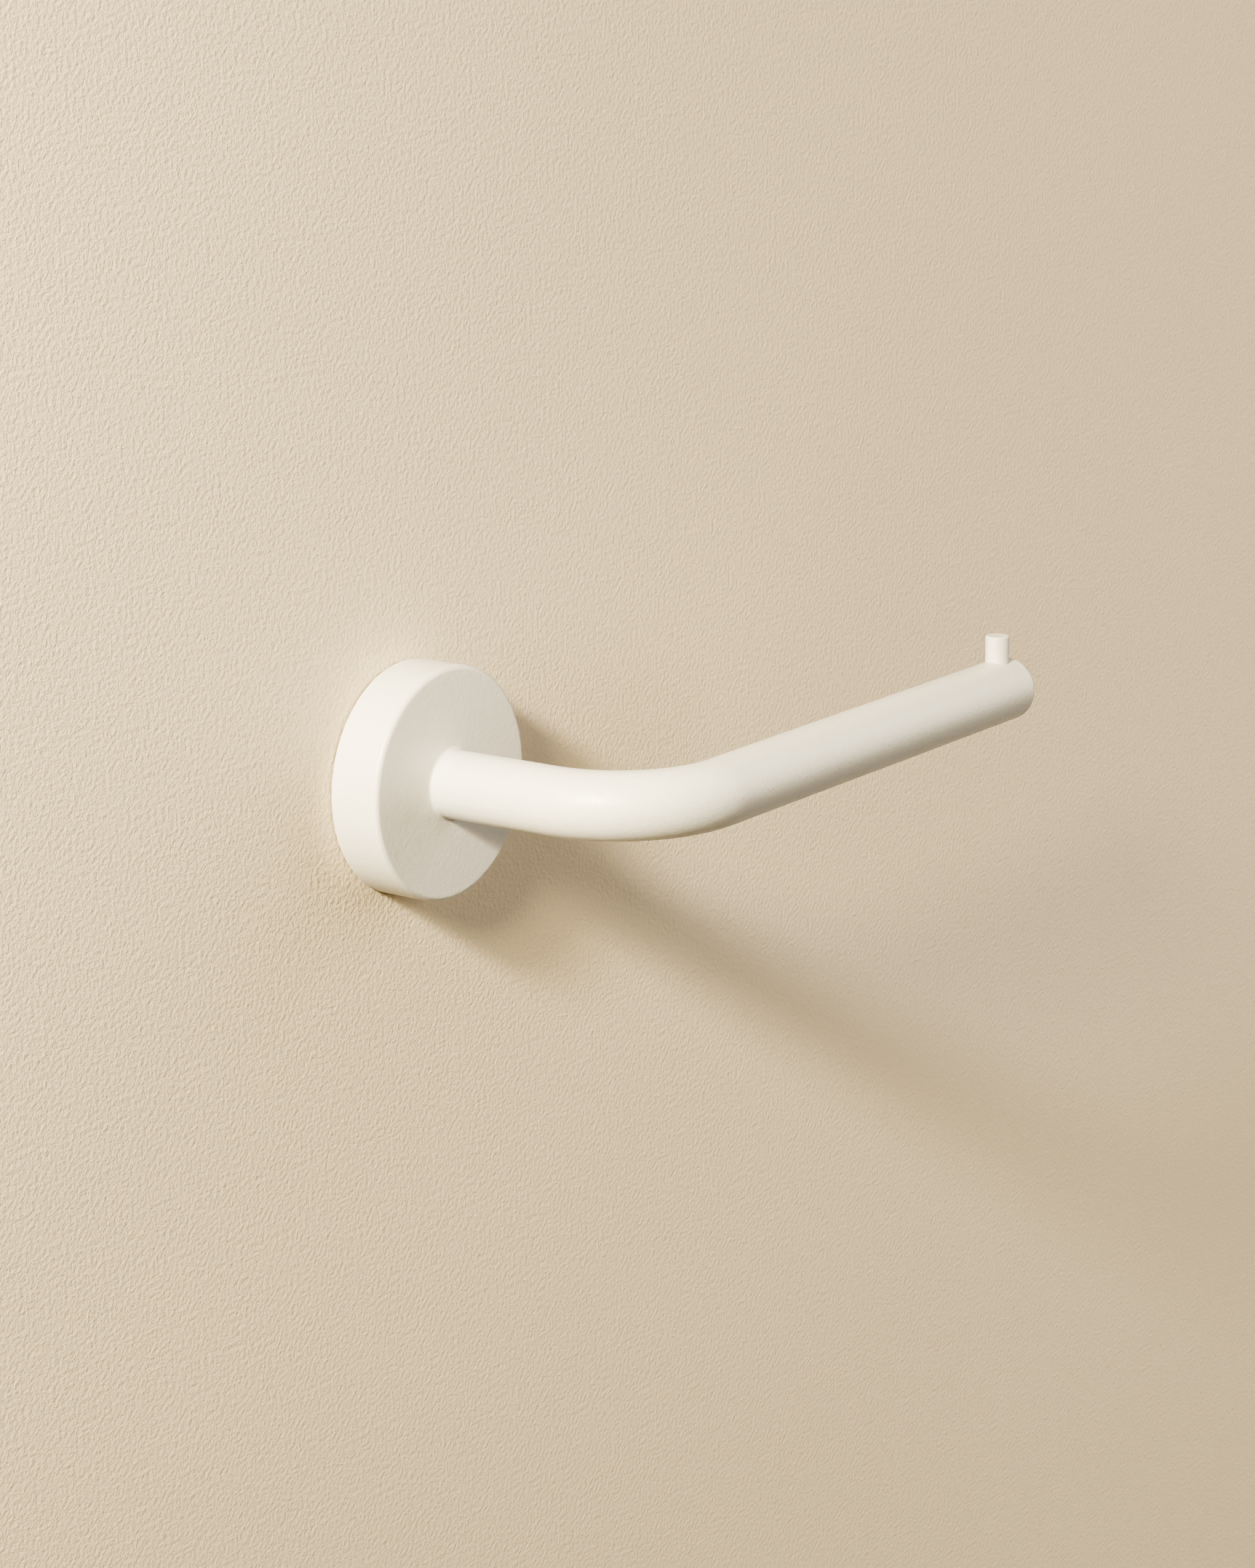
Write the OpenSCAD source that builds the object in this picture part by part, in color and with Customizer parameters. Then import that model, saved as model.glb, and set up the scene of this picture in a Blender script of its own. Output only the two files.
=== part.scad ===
// Open-arm roll holder for a wall: a round rose carries one bent tube, and a short pin
// near the tip keeps the roll on. The rose hides a wall plate with a bevelled rim. A
// cone-point screw in the underside of the rose bears on that bevel and draws the rose
// home, so the whole arm lifts off when the screw is backed out.
//
// Millimetres. The origin is the centre of the wall plate's back face, on the wall.
// +Z is up, -Y points out of the wall, and the arm runs along +X.

/* [Rose] */
// Outer diameter of the rose
rose_d = 55; // [53:0.5:60]
// Distance from the wall to the front face of the rose
rose_depth = 13.5; // [13:0.5:16]
// Thickness of the rose's side wall
rose_wall = 3.5; // [3:0.1:4]
// Thickness of the rose's front wall
rose_front = 3; // [2.5:0.1:3.4]
// Rounding of the rose's front edge
rose_edge_r = 1.2; // [0.5:0.1:2.5]
// Chamfer of the rose's back rim, inside and out
rose_rim_chamfer = 0.3; // [0.1:0.1:0.5]
// Countersink round the mouth of the clamping screw's hole
grub_sink = 0.4; // [0.2:0.1:0.6]
// Gap left between the rose's back rim and the wall
rim_gap = 0.3; // [0.1:0.1:0.5]
// Depth of the seat in the front face that takes the end of the arm
arm_seat = 1; // [0.5:0.1:1.5]
// Radius of the coating's fillet where the arm leaves the rose
root_fillet_r = 0.8; // [0.4:0.1:1.5]

/* [Wall plate] */
// Depth of the wall plate from the wall to its front ring
plate_depth = 8; // [7.5:0.1:8.5]
// Radial gap between the wall plate and the pocket in the rose
plate_gap = 0.3; // [0.2:0.05:0.5]
// Radial width of the step in the rose that seats on the plate's ring
plate_step = 3; // [2:0.5:4]
// Thickness of the web that the wall screws clamp
web_t = 3; // [2.5:0.1:3.5]
// Height of the cylindrical lip in front of the bevel
lip_t = 1.2; // [0.8:0.1:1.6]
// Height and radial depth of the 45 degree bevel behind the lip
bevel = 3; // [2.5:0.1:3.2]
// Thickness of the plate's ring where the bevel ends
ring_t = 2.2; // [1.6:0.1:2.6]
// Width of the four ribs between the web and the ring
rib_w = 2; // [1.5:0.1:3]
// Height of the ribs above the web
rib_h = 2; // [1:0.5:3]
// Length of the ribs, inwards from the ring
rib_len = 5; // [3:0.5:7]
// Chamfer of the lip's front edge, which leads the rose on
lip_chamfer = 0.4; // [0.2:0.1:0.6]

/* [Arm] */
// Outer diameter of the arm's tube
arm_d = 16; // [15.5:0.1:18]
// Wall thickness of the arm's tube
arm_wall = 1.5; // [1.2:0.1:1.6]
// Distance from the wall to the axis of the arm's long leg
arm_reach = 69; // [62:1:80]
// Radius of the bend, measured to the axis of the tube
bend_r = 27; // [22:1:34]
// Distance from the rose's axis to the tip of the arm
arm_length = 158; // [120:1:200]

/* [Root joint] */
// Length of the threaded insert inside the root of the arm
insert_len = 16; // [14:0.5:20]
// Depth of the tapped hole in the insert
insert_tap = 13; // [12:0.5:13.5]
// Thread diameter of the screw that holds the arm
arm_screw_d = 6; // [5:0.5:6]
// Length of that screw below its head
arm_screw_len = 16; // [12:0.5:16.5]
// Diameter of its button head
arm_screw_head_d = 10.5; // [9.5:0.1:11]
// Height of its button head
arm_screw_head_h = 3.3; // [2.8:0.1:3.4]
// Width across flats of its hexagon socket
arm_screw_key = 4; // [3:0.5:4.5]
// Radial gap between that screw and the holes it passes through
arm_screw_gap = 0.2; // [0.1:0.05:0.3]
// Outer diameter of the flat washer
washer_d = 12; // [11.6:0.1:12.5]
// Thickness of the flat washer
washer_t = 1.6; // [1.2:0.1:1.8]
// Outer diameter of the spring washer
spring_d = 11.4; // [11:0.1:11.8]
// Thickness of the spring washer when it is pressed flat
spring_t = 1.6; // [1.2:0.1:1.8]
// Width of the split in the spring washer
spring_split = 0.8; // [0.5:0.1:1.2]
// Diameter of the dowel that stops the arm from turning
dowel_d = 2; // [1.5:0.1:2]
// Length of the dowel
dowel_len = 6; // [5:0.5:8]
// Distance of the dowel from the axis of the arm
dowel_offset = 4.7; // [4.5:0.1:4.9]

/* [Tip] */
// Thickness of the end plug's visible head
plug_head_t = 1.6; // [1.4:0.1:2]
// Rounding of the end plug's outer edge
plug_edge_r = 1.2; // [0.4:0.1:1.3]
// Length of the end plug's spigot inside the tube
plug_len = 13; // [11:0.5:18]
// Diameter of the stop pin
pin_d = 6; // [5:0.5:7]
// Height of the stop pin above the top of the arm
pin_h = 6.5; // [4:0.5:12]
// Distance from the tip of the arm to the axis of the stop pin
pin_inset = 6; // [5.5:0.5:8]
// Rounding of the stop pin's top edge
pin_edge_r = 0.4; // [0.2:0.1:0.8]
// Height of the stop pin's shoulder above the axis of the arm
pin_shoulder = 4.5; // [3.5:0.5:5]
// Thread diameter of the stop pin's stud
stud_d = 4; // [3:0.5:4.5]
// Length of the stop pin's stud
stud_len = 7; // [5:0.5:8]

/* [Clamping screw] */
// Thread diameter of the cone-point screw
grub_d = 4; // [3.5:0.1:4.4]
// Length of the cone-point screw
grub_len = 5; // [4.5:0.1:5.4]
// Width across flats of its hexagon socket
grub_key = 2; // [1.5:0.1:2.2]
// Depth of its hexagon socket
grub_socket = 2; // [1:0.1:2.2]
// Distance from the wall to the axis of the cone-point screw
grub_height = 5; // [4.8:0.1:5.4]

/* [Wall screws] */
// Clearance between the head of a wall screw and the plate's ring
wall_screw_room = 1.5; // [0.5:0.1:2.5]
// Shank diameter of a wall screw
wall_screw_d = 4; // [3.5:0.1:4.5]
// Length of a wall screw below its head
wall_screw_len = 35; // [25:1:50]
// Diameter of its plain neck, which passes through the plate
wall_screw_neck_d = 3; // [2.5:0.1:3.4]
// Distance that the neck runs on behind the plate before the thread starts
wall_screw_neck_out = 1; // [0.5:0.1:3]
// Diameter of its pan head
wall_screw_head_d = 8; // [7:0.1:8.5]
// Height of its pan head
wall_screw_head_h = 2.8; // [2.4:0.1:3.2]
// Rounding of its pan head
wall_screw_head_r = 1.6; // [1:0.1:2]
// Length of its point
wall_screw_point = 5; // [4:0.5:7]
// Width of the arms of its cross recess
cross_w = 0.9; // [0.7:0.1:1.1]
// Span of its cross recess
cross_span = 4.6; // [4:0.1:5]
// Depth of its cross recess
cross_depth = 1.8; // [1.2:0.1:2]
// Radial gap between a wall screw and its hole in the plate
wall_screw_gap = 0.25; // [0.15:0.05:0.4]
// How far a wall screw can shift along the slot, each way
slot_travel = 1.5; // [0.5:0.1:2.5]

/* [Fits] */
// Chamfer on the ends of screws, plugs and pins
end_chamfer = 0.5; // [0.2:0.1:0.7]
// Radial gap of a pressed, threaded or doweled fit
fit_gap = 0.03; // [0.02:0.01:0.05]
// Gap between the point of the cone-point screw and the bevel
point_gap = 0.02; // [0.01:0.01:0.05]

/* [Hidden] */
$fn = 96;

coat_white = "whitesmoke";
bare_steel = "silver";
cast_zinc = "lightgray";
yellow_zinc = "khaki";

over = 1; // how far a cutting solid runs past the face that it opens
right_angle = 90;

rose_r = rose_d / 2;
pocket_r = rose_r - rose_wall;
recess_r = pocket_r - plate_step;
rose_inside = rose_depth - rose_front;
flat_sagitta = rose_r - sqrt(rose_r * rose_r - grub_d * grub_d / 4);

lip_r = pocket_r - plate_gap;
waist_r = lip_r - bevel;
ring_inner_r = waist_r - ring_t;
bevel_top = plate_depth - lip_t;
bevel_bottom = bevel_top - bevel;
bevel_r_at_grub = waist_r + (grub_height - bevel_bottom);
wall_screw_x = ring_inner_r - wall_screw_head_d / 2 - wall_screw_room;

arm_r = arm_d / 2;
arm_bore_r = arm_r - arm_wall;
arm_root = rose_depth - arm_seat;
bend_start = arm_reach - bend_r;
tube_end = arm_length - plug_head_t;
insert_r = arm_bore_r - fit_gap;
pin_x = arm_length - pin_inset;
pin_top = arm_r + pin_h;

washer_z = rose_inside - washer_t;
spring_z = washer_z - spring_t;

// ---------- shared shapes ----------

// Places children that are drawn about +Z so that they stand out of the wall along -Y.
module out_of_wall() {
    rotate([right_angle, 0, 0])
        children();
}

// Places children that are drawn about +Z along the long leg of the arm.
module along_arm() {
    translate([0, -arm_reach, 0])
        rotate([0, right_angle, 0])
            children();
}

// Half section of a round disc whose upper outer edge is rounded.
module rounded_half_disc(r, h, edge) {
    square([r - edge, h]);
    square([r, h - edge]);
    translate([r - edge, h - edge])
        circle(r = edge);
}

// A round rod that stands on z = 0, with a chamfer of its own at each end.
module chamfered_rod(r, h, foot, top) {
    rotate_extrude()
        polygon([
            [0, 0],
            [r - foot, 0],
            [r, foot],
            [r, h - top],
            [r - top, h],
            [0, h]
        ]);
}

// A round head with a rounded upper edge, standing on z = 0.
module rounded_head(r, h, edge) {
    rotate_extrude()
        intersection() {
            rounded_half_disc(r, h, edge);
            square([r, h]);
        }
}

// A hexagon socket that is sunk downwards from z = 0.
module hex_socket(across_flats, depth) {
    translate([0, 0, -depth])
        cylinder(r = across_flats / 2 / cos(30), h = depth + over, $fn = 6);
}

// ---------- rose and its clamp ----------

module rose_body() {
    rotate_extrude()
        difference() {
            translate([0, rim_gap])
                rounded_half_disc(rose_r, rose_depth - rim_gap, rose_edge_r);
            square([pocket_r, plate_depth]);
            square([recess_r, rose_inside]);
            rim_chamfer(rose_r);
            rim_chamfer(pocket_r);
        }
}

// The small bevel that is cut on one edge of the rose's back rim.
module rim_chamfer(r) {
    translate([r, rim_gap])
        polygon([
            [-rose_rim_chamfer, 0],
            [0, rose_rim_chamfer],
            [rose_rim_chamfer, 0],
            [0, -rose_rim_chamfer]
        ]);
}

// The coating runs up the arm in a small hollow fillet.
module root_fillet() {
    translate([0, 0, rose_depth])
        rotate_extrude()
            translate([arm_r + fit_gap, 0])
                difference() {
                    translate([0, -rose_front / 2])
                        square([root_fillet_r, root_fillet_r + rose_front / 2]);
                    translate([root_fillet_r, root_fillet_r])
                        circle(r = root_fillet_r);
                }
}

// The tapped hole in the underside of the rose, with a countersunk mouth.
module grub_hole() {
    r = grub_d / 2 + fit_gap;
    translate([0, 0, grub_height])
        rotate([right_angle, 0, 0]) {
            translate([0, 0, recess_r])
                cylinder(r = r, h = rose_wall + plate_step + over);
            translate([0, 0, rose_r - grub_sink - flat_sagitta])
                cylinder(r1 = r, r2 = r + grub_sink + over, h = grub_sink + over);
        }
}

module rose() {
    color(coat_white)
        out_of_wall()
            difference() {
                union() {
                    rose_body();
                    root_fillet();
                }
                translate([0, 0, arm_root])
                    cylinder(r = arm_r + fit_gap, h = arm_seat + over);
                cylinder(r = arm_screw_d / 2 + arm_screw_gap, h = rose_depth);
                dowel_hole();
                grub_hole();
            }
}

module wall_plate() {
    color(cast_zinc)
        out_of_wall()
            difference() {
                union() {
                    rotate_extrude()
                        polygon([
                            [0, 0],
                            [waist_r, 0],
                            [waist_r, bevel_bottom],
                            [lip_r, bevel_top],
                            [lip_r, plate_depth - lip_chamfer],
                            [lip_r - lip_chamfer, plate_depth],
                            [ring_inner_r, plate_depth],
                            [ring_inner_r, web_t],
                            [0, web_t]
                        ]);
                    plate_ribs();
                }
                screw_hole(-wall_screw_x, 0);
                screw_hole(wall_screw_x, slot_travel);
            }
}

// Four ribs on the diagonals stiffen the ring, clear of the screws.
module plate_ribs() {
    for (turn = [45 : right_angle : 315])
        rotate([0, 0, turn])
            translate([ring_inner_r - rib_len, -rib_w / 2, web_t])
                cube([rib_len + ring_t / 2, rib_w, rib_h]);
}

// A hole for a wall screw. With some travel it becomes an upright slot.
module screw_hole(x, travel) {
    r = wall_screw_d / 2 + wall_screw_gap;
    translate([x, 0, -over])
        linear_extrude(web_t + 2 * over)
            union() {
                for (y = [-travel, travel])
                    translate([0, y])
                        circle(r = r);
                if (travel > 0)
                    square([2 * r, 2 * travel], center = true);
            }
}

// A pan-head wood screw that stands on the web and runs back into the wall.
module wall_screw() {
    thread_start = web_t + wall_screw_neck_out;
    translate([0, 0, web_t])
        difference() {
            union() {
                rounded_head(wall_screw_head_d / 2, wall_screw_head_h, wall_screw_head_r);
                translate([0, 0, -thread_start])
                    cylinder(r = wall_screw_neck_d / 2, h = thread_start);
                translate([0, 0, wall_screw_point - wall_screw_len])
                    cylinder(r = wall_screw_d / 2, h = wall_screw_len - wall_screw_point - thread_start);
                translate([0, 0, -wall_screw_len])
                    cylinder(r1 = 0, r2 = wall_screw_d / 2, h = wall_screw_point);
            }
            for (turn = [0, right_angle])
                rotate([0, 0, turn])
                    translate([-cross_span / 2, -cross_w / 2, wall_screw_head_h - cross_depth])
                        cube([cross_span, cross_w, cross_depth + over]);
        }
}

module wall_screws() {
    color(yellow_zinc)
        out_of_wall()
            for (x = [-wall_screw_x, wall_screw_x])
                translate([x, 0, 0])
                    wall_screw();
}

// The cone-point screw stands in the underside of the rose, its point on the bevel.
module clamp_screw() {
    r = grub_d / 2;
    color(bare_steel)
        out_of_wall()
            translate([0, -bevel_r_at_grub - point_gap, grub_height])
                rotate([right_angle, 0, 0])
                    difference() {
                        union() {
                            cylinder(r1 = 0, r2 = r, h = r);
                            translate([0, 0, r])
                                cylinder(r = r, h = grub_len - r);
                        }
                        translate([0, 0, grub_len])
                            hex_socket(grub_key, grub_socket);
                    }
}

// ---------- arm ----------

// The solid that a disc of radius r sweeps along the arm, run past each end.
module arm_sweep(r, past_root, past_tip) {
    translate([0, -bend_start, 0])
        rotate([-right_angle, 0, 0])
            cylinder(r = r, h = bend_start - arm_root + past_root);
    translate([bend_r, -bend_start, 0])
        rotate([0, 0, 180])
            rotate_extrude(angle = right_angle)
                translate([bend_r, 0])
                    circle(r = r);
    translate([bend_r, -arm_reach, 0])
        rotate([0, right_angle, 0])
            cylinder(r = r, h = tube_end - bend_r + past_tip);
}

module arm_tube() {
    color(coat_white)
        difference() {
            arm_sweep(arm_r, 0, 0);
            arm_sweep(arm_bore_r, over, over);
            translate([pin_x, -arm_reach, 0])
                cylinder(r = pin_d / 2 + fit_gap, h = arm_r + over);
        }
}

// ---------- root joint, from the arm inwards ----------

module root_insert() {
    color(bare_steel)
        out_of_wall()
            difference() {
                translate([0, 0, arm_root])
                    chamfered_rod(insert_r, insert_len, 0, end_chamfer);
                translate([0, 0, arm_root - over])
                    cylinder(r = arm_screw_d / 2 + fit_gap, h = insert_tap + over);
                dowel_hole();
            }
}

module dowel_hole() {
    translate([0, dowel_offset, rose_inside - over])
        cylinder(r = dowel_d / 2 + fit_gap, h = dowel_len + over + fit_gap);
}

module dowel() {
    color(bare_steel)
        out_of_wall()
            translate([0, dowel_offset, rose_inside])
                chamfered_rod(dowel_d / 2, dowel_len, 0, end_chamfer / 2);
}

module flat_washer() {
    color(bare_steel)
        out_of_wall()
            translate([0, 0, washer_z])
                difference() {
                    cylinder(r = washer_d / 2, h = washer_t);
                    translate([0, 0, -over])
                        cylinder(r = arm_screw_d / 2 + arm_screw_gap, h = washer_t + 2 * over);
                }
}

module spring_washer() {
    bore_r = arm_screw_d / 2 + arm_screw_gap;
    color(bare_steel)
        out_of_wall()
            translate([0, 0, spring_z])
                difference() {
                    cylinder(r = spring_d / 2, h = spring_t);
                    translate([0, 0, -over])
                        cylinder(r = bore_r, h = spring_t + 2 * over);
                    translate([0, 0, spring_t / 2])
                        rotate([30, 0, 0])
                            translate([0, -spring_split / 2, -spring_t - over])
                                cube([spring_d, spring_split, 2 * (spring_t + over)]);
                }
}

module arm_screw() {
    color(bare_steel)
        out_of_wall()
            translate([0, 0, spring_z]) {
                chamfered_rod(arm_screw_d / 2, arm_screw_len, 0, end_chamfer);
                mirror([0, 0, 1])
                    difference() {
                        rounded_head(arm_screw_head_d / 2, arm_screw_head_h, arm_screw_head_h * 2 / 3);
                        translate([0, 0, arm_screw_head_h])
                            hex_socket(arm_screw_key, arm_screw_head_h * 2 / 3);
                    }
            }
}

// ---------- tip ----------

module end_plug() {
    color(coat_white)
        difference() {
            along_arm() {
                translate([0, 0, tube_end])
                    rounded_head(arm_r, plug_head_t, plug_edge_r);
                translate([0, 0, tube_end - plug_len])
                    chamfered_rod(arm_bore_r - fit_gap, plug_len, end_chamfer, 0);
            }
            translate([pin_x, -arm_reach, pin_shoulder])
                cylinder(r = pin_d / 2 + fit_gap, h = arm_r);
            translate([pin_x, -arm_reach, pin_shoulder - stud_len - over / 2])
                cylinder(r = stud_d / 2 + fit_gap, h = stud_len + over);
        }
}

module stop_pin() {
    color(coat_white)
        translate([pin_x, -arm_reach, pin_shoulder]) {
            rounded_head(pin_d / 2, pin_top - pin_shoulder, pin_edge_r);
            translate([0, 0, -stud_len])
                chamfered_rod(stud_d / 2, stud_len, end_chamfer, 0);
        }
}

rose();
wall_plate();
wall_screws();
clamp_screw();
arm_tube();
root_insert();
arm_screw();
flat_washer();
spring_washer();
dowel();
end_plug();
stop_pin();
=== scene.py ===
import math

import bmesh
import bpy
from mathutils import Matrix, Vector


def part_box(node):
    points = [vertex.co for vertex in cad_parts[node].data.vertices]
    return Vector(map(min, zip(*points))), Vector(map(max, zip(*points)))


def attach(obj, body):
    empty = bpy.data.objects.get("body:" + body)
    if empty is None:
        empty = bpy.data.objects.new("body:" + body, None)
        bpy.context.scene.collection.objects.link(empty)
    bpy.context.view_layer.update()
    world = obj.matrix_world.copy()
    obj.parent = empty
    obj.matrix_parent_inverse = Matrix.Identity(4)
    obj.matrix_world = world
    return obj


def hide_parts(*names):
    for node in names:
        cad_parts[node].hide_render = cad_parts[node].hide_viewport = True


# A wall-mounted roll holder, dressed in the order in which it is put together: the wall
# plate and its screws, the bent arm with its plug, pin and insert, the rose that the arm
# is screwed to, and the small screw that clamps the rose over the plate.
# Metres. +Z is up, -Y points out of the wall, the arm runs along +X.

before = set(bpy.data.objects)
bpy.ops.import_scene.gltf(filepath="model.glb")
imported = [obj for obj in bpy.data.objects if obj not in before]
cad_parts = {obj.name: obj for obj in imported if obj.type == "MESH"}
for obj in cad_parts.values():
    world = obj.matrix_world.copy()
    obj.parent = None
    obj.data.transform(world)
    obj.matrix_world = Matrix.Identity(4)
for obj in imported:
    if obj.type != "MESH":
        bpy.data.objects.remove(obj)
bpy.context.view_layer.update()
mm = 0.001


# ---------------------------------------------------------------------------- camera
# A long lens, standing to the left of the holder and a little above it, held almost
# level. It looks at a point on the wall beside the rose.

view_azimuth = math.radians(-54.39)
view_elevation = math.radians(14.15)
view_roll = math.radians(-0.42)
view_distance = 968.4 * mm
view_target = Vector((88.0 * mm, 0, -20.4 * mm))
lens_length = 88.6
film_width = 36
nearest_seen = 10 * mm


def facing(place, target):
    """The matrix of a camera or lamp that stands at place and looks at target."""
    turn = (Vector(target) - Vector(place)).to_track_quat("-Z", "Y")
    return Matrix.Translation(place) @ turn.to_matrix().to_4x4()


to_camera = Vector((
    math.sin(view_azimuth) * math.cos(view_elevation),
    -math.cos(view_azimuth) * math.cos(view_elevation),
    math.sin(view_elevation),
))
lens = bpy.data.cameras.new("camera")
lens.lens = lens_length
lens.sensor_width = film_width
lens.clip_start = nearest_seen
camera = bpy.data.objects.new("camera", lens)
camera.matrix_world = facing(view_target + to_camera * view_distance, view_target)
camera.matrix_world @= Matrix.Rotation(view_roll, 4, "Z")
bpy.context.scene.collection.objects.link(camera)
bpy.context.scene.camera = camera


# ------------------------------------------------------------------------ wall plate
# A die-cast zinc plate that the two wall screws clamp flat to the wall. Its rim has a
# 45 degree bevel at the back. The casting is tumbled, which leaves a mottled grey skin
# with small pits and no coating.

zinc_light = (0.60, 0.61, 0.62, 1)
zinc_dark = (0.36, 0.37, 0.39, 1)
zinc_patch = 6 * mm
zinc_contrast = 2.2
zinc_relief = 0.06 * mm
zinc_swell = 0.4              # how much of the relief is the skin's, and how much the pits'
zinc_pitting = 0.6
zinc_roughness = 0.62
zinc_polish = 0.2
zinc_smoothest = 0.3
zinc_roughest = 0.9
pit_spacing = 0.9 * mm
pit_size = 0.18               # as a share of the pit spacing
# how much darker the pits are coloured than the skin around them
pit_darkening = 0.5


class Wire:
    """An output of a node. Sums on wires add the Math nodes that work them out."""

    def __init__(self, wiring, socket):
        self.wiring = wiring
        self.socket = socket

    def __getitem__(self, output):
        return Wire(self.wiring, self.socket.node.outputs[output])

    def __add__(self, other):
        return self.wiring.math("ADD", self, other)

    def __sub__(self, other):
        return self.wiring.math("SUBTRACT", self, other)

    def __rsub__(self, other):
        return self.wiring.math("SUBTRACT", other, self)

    def __mul__(self, other):
        return self.wiring.math("MULTIPLY", self, other)

    def __truediv__(self, other):
        return self.wiring.math("DIVIDE", self, other)

    def __gt__(self, other):
        return self.wiring.math("GREATER_THAN", self, other)

    def __lt__(self, other):
        return self.wiring.math("LESS_THAN", self, other)

    __radd__ = __add__
    __rmul__ = __mul__

    def held_to(self, low, high):
        """The wire's value, kept between low and high."""
        return self.wiring.math("MINIMUM", self.wiring.math("MAXIMUM", self, low), high)


class Wiring:
    """A node tree under construction, for a finish or for a mesh recipe."""

    def __init__(self, tree):
        self.tree = tree

    def add(self, kind, settings=(), sockets=()):
        """Adds a node: its settings first, then the value or wire of each named socket."""
        node = self.tree.nodes.new(kind)
        for name, value in dict(settings).items():
            if name == "stops":
                ramp = node.color_ramp.elements
                while len(ramp) < len(value):
                    ramp.new(0.5)
                for stop, (position, colour) in zip(ramp, value):
                    stop.position = position
                    stop.color = colour
            else:
                setattr(node, name, value)
        for name, value in dict(sockets).items():
            if isinstance(name, int):
                socket = node.inputs[name]
            else:
                socket = next(s for s in node.inputs if s.enabled and s.name == name)
            if isinstance(value, Wire):
                self.tree.links.new(value.socket, socket)
            else:
                socket.default_value = value
        shown = [s for s in node.outputs if s.enabled]
        return Wire(self, shown[0]) if shown else None

    def math(self, operation, *values):
        """The result of a Math node, for what the operators of a wire don't cover."""
        return self.add("ShaderNodeMath", {"operation": operation}, dict(enumerate(values)))

    def noise(self, coordinates, size, detail=2.0, roughness=0.5, stretch=(1, 1, 1)):
        """Soft random patches about size across, from 0 to 1."""
        place = self.add("ShaderNodeMapping", {}, {"Vector": coordinates, "Scale": stretch})
        return self.add(
            "ShaderNodeTexNoise", {},
            {"Vector": place, "Scale": 1 / size, "Detail": detail, "Roughness": roughness},
        )

    def blend(self, amount, low, high):
        """One colour turning into another as amount goes from 0 to 1."""
        settings = {"data_type": "RGBA"}
        return self.add("ShaderNodeMix", settings, {"Factor": amount, "A": low, "B": high})


class Finish(Wiring):
    """A procedural material, built on the piece's own Object coordinates."""

    def __init__(self, name, constants):
        self.material = bpy.data.materials.new(name)
        self.material.use_nodes = True
        super().__init__(self.material.node_tree)
        self.shader = self.tree.nodes["Principled BSDF"]
        self.plain = Wire(self, self.shader.outputs["BSDF"])
        for socket, value in constants.items():
            self.shader.inputs[socket].default_value = value
        self.coordinates = self.add("ShaderNodeTexCoord")["Object"]

    def drive(self, socket, wire):
        self.tree.links.new(wire.socket, self.shader.inputs[socket])

    def end_with(self, shader):
        """Makes another shader than the plain one the material's surface."""
        self.tree.links.new(shader.socket, self.tree.nodes["Material Output"].inputs["Surface"])

    def emboss(self, height, depth):
        """Raises and sinks the surface by up to depth, following height from 0 to 1."""
        bump = self.add("ShaderNodeBump", {}, {"Height": height, "Distance": depth})
        self.drive("Normal", bump)


cast_zinc = Finish("tumbled_zinc", {"Metallic": 0.55})
mottle = cast_zinc.noise(cast_zinc.coordinates, zinc_patch, detail=6, roughness=0.62)
cells = {"Vector": cast_zinc.coordinates, "Scale": 1 / pit_spacing}
specks = cast_zinc.add("ShaderNodeTexVoronoi", {}, cells)
pits = (pit_size - specks["Distance"]).held_to(0, pit_size) / pit_size
skin = (mottle - 0.5) * zinc_contrast + 0.5
# The pits are coloured darker than the skin around them.
pit_darkened_skin = (skin - pits * pit_darkening).held_to(0, 1)
cast_zinc.drive("Base Color", cast_zinc.blend(pit_darkened_skin, zinc_dark, zinc_light))
rubbed = zinc_roughness - (skin - pits) * zinc_polish
cast_zinc.drive("Roughness", rubbed.held_to(zinc_smoothest, zinc_roughest))
cast_zinc.emboss(skin * zinc_swell - pits * zinc_pitting, zinc_relief)

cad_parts["wall_plate"].material_slots[0].material = cast_zinc.material


# ----------------------------------------------------------------------- wall screws
# Two pan-head wood screws of steel, zinc plated and passivated yellow. The rolled
# thread runs from the gimlet point up to a plain neck, and the head has a cross recess.

plate_web = 3 * mm
wall_screw_x = 13 * mm
wall_screw_length = 35 * mm
wall_screw_radius = 2 * mm
wall_screw_core = 1.3 * mm
wall_screw_pitch = 1.8 * mm
wall_screw_point = 5 * mm
wall_screw_neck = 1.5 * mm
wall_screw_neck_length = 4 * mm
wall_screw_head = 4 * mm
wall_screw_head_height = 2.8 * mm
wall_screw_head_edge = 1.6 * mm
recess_span = 4.6 * mm
recess_width = 0.9 * mm
recess_depth = 1.8 * mm
neck_fillet = 0.3 * mm
head_break = 0.15 * mm
wood_root_flat = 0.45
wood_crest_flat = 0.06
overlap = 0.5 * mm            # how far a thread is sunk into what it is joined to
overshoot = 1 * mm            # how far a cutting tool reaches past the face it opens
weld_distance = 0.001 * mm    # points this near to each other become one
straw = (0.80, 0.62, 0.27, 1)
pink_straw = (0.78, 0.52, 0.34, 1)
green_straw = (0.64, 0.63, 0.30, 1)
passivation_patch = 5 * mm
passivation_stops = [(0.30, green_straw), (0.48, straw), (0.60, straw), (0.74, pink_straw)]
passivated_roughness = 0.24
haze_patch = 0.7 * mm
haze_relief = 0.01 * mm
haze_dulling = 0.22

out_of_wall = Matrix.Rotation(math.pi / 2, 4, "X")


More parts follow.
